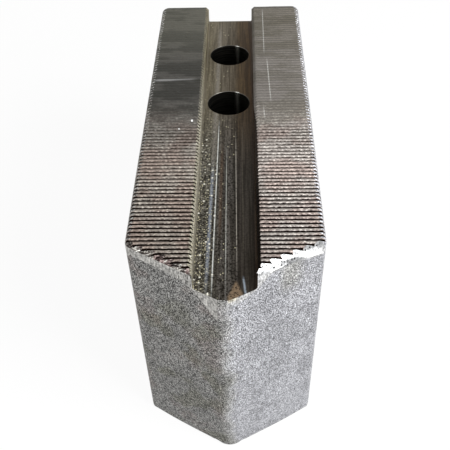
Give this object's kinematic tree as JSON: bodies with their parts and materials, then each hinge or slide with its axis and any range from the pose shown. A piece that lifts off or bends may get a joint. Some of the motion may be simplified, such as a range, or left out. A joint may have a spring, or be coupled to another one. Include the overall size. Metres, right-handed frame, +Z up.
{
  "type": "machinable soft jaw",
  "caption": "Steel top jaw block for a power chuck, with a pointed nose to be bored to the work, a keyway slot, serrated mounting pads and counterbored screw holes.",
  "frame": {"origin": "centre of the jaw's footprint, on the gripping face that it stands on", "axes": "+Z up towards the serrated mounting face, -Y towards the pointed nose, X across the jaw's width"},
  "size_m": [0.0508, 0.1388, 0.0762],
  "materials": {
    "jaw_steel": "satin"
  },
  "bodies": {
    "root": {"soft_jaw": "jaw_steel"}
  },
  "joints": []
}
